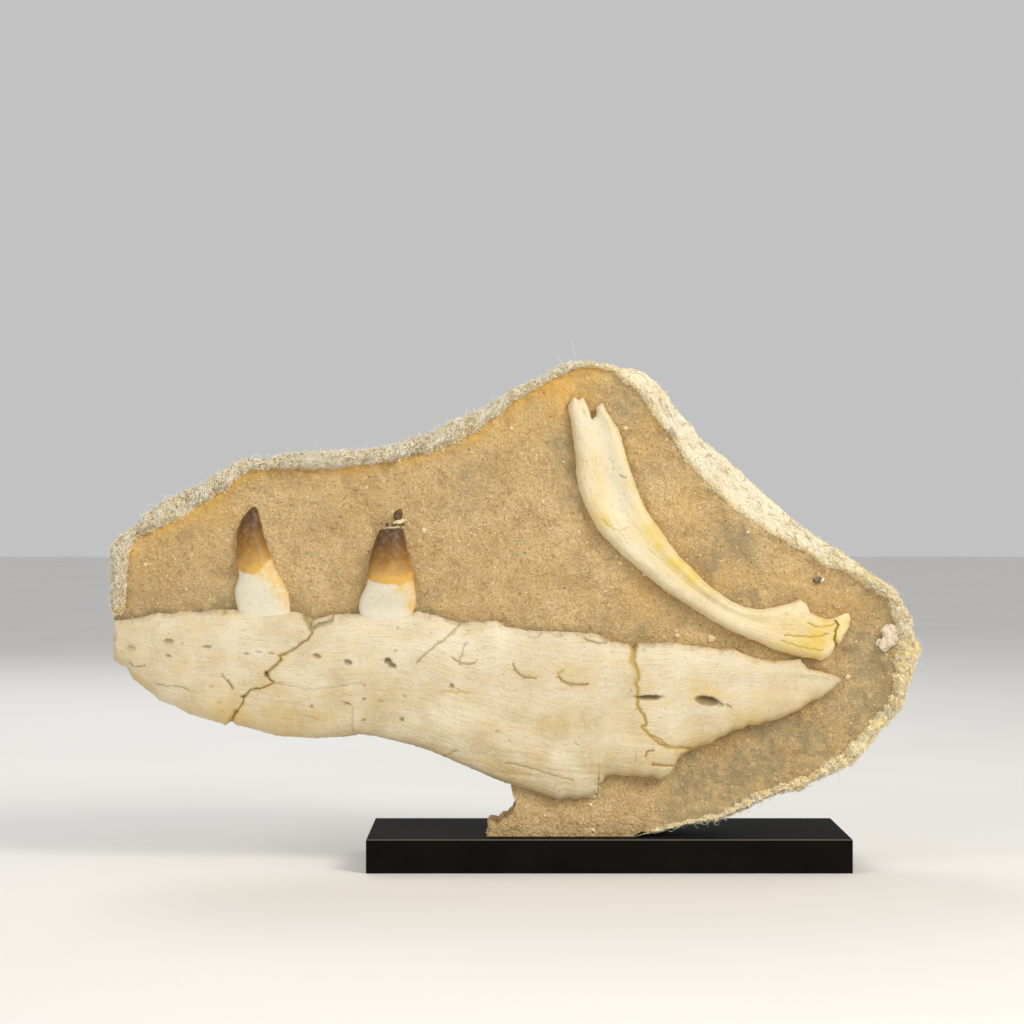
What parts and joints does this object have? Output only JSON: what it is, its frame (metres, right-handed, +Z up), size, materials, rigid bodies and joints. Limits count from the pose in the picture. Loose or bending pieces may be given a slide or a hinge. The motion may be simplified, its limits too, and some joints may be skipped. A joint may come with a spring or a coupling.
{
  "type": "fossil jaw on display base",
  "caption": "Fossil reptile jaw with upright teeth and a curved bone in sandy rock, held in a plaster field jacket and standing on a plain black base.",
  "frame": {"origin": "middle of the bounding box, on the underside of the display base", "axes": "+X along the slab to the right as seen from its face, +Y from the fossil's face to the jacket's back, +Z up"},
  "size_m": [0.5004, 0.12, 0.3149],
  "materials": {
    "black_base": "satin black lacquer",
    "plaster": "matt cast plaster with burlap",
    "phosphate_rock": "matt, sandy",
    "fossil_bone": "matt, sealed",
    "tooth": "glossy enamel, matt root"
  },
  "bodies": {
    "root": {"display_base": "black_base", "plaster_jacket": "plaster", "matrix": "phosphate_rock", "jaw_bone": "fossil_bone", "curved_bone": "fossil_bone", "front_tooth": "tooth", "rear_tooth": "tooth", "rear_tooth_tip": "tooth"}
  },
  "joints": []
}
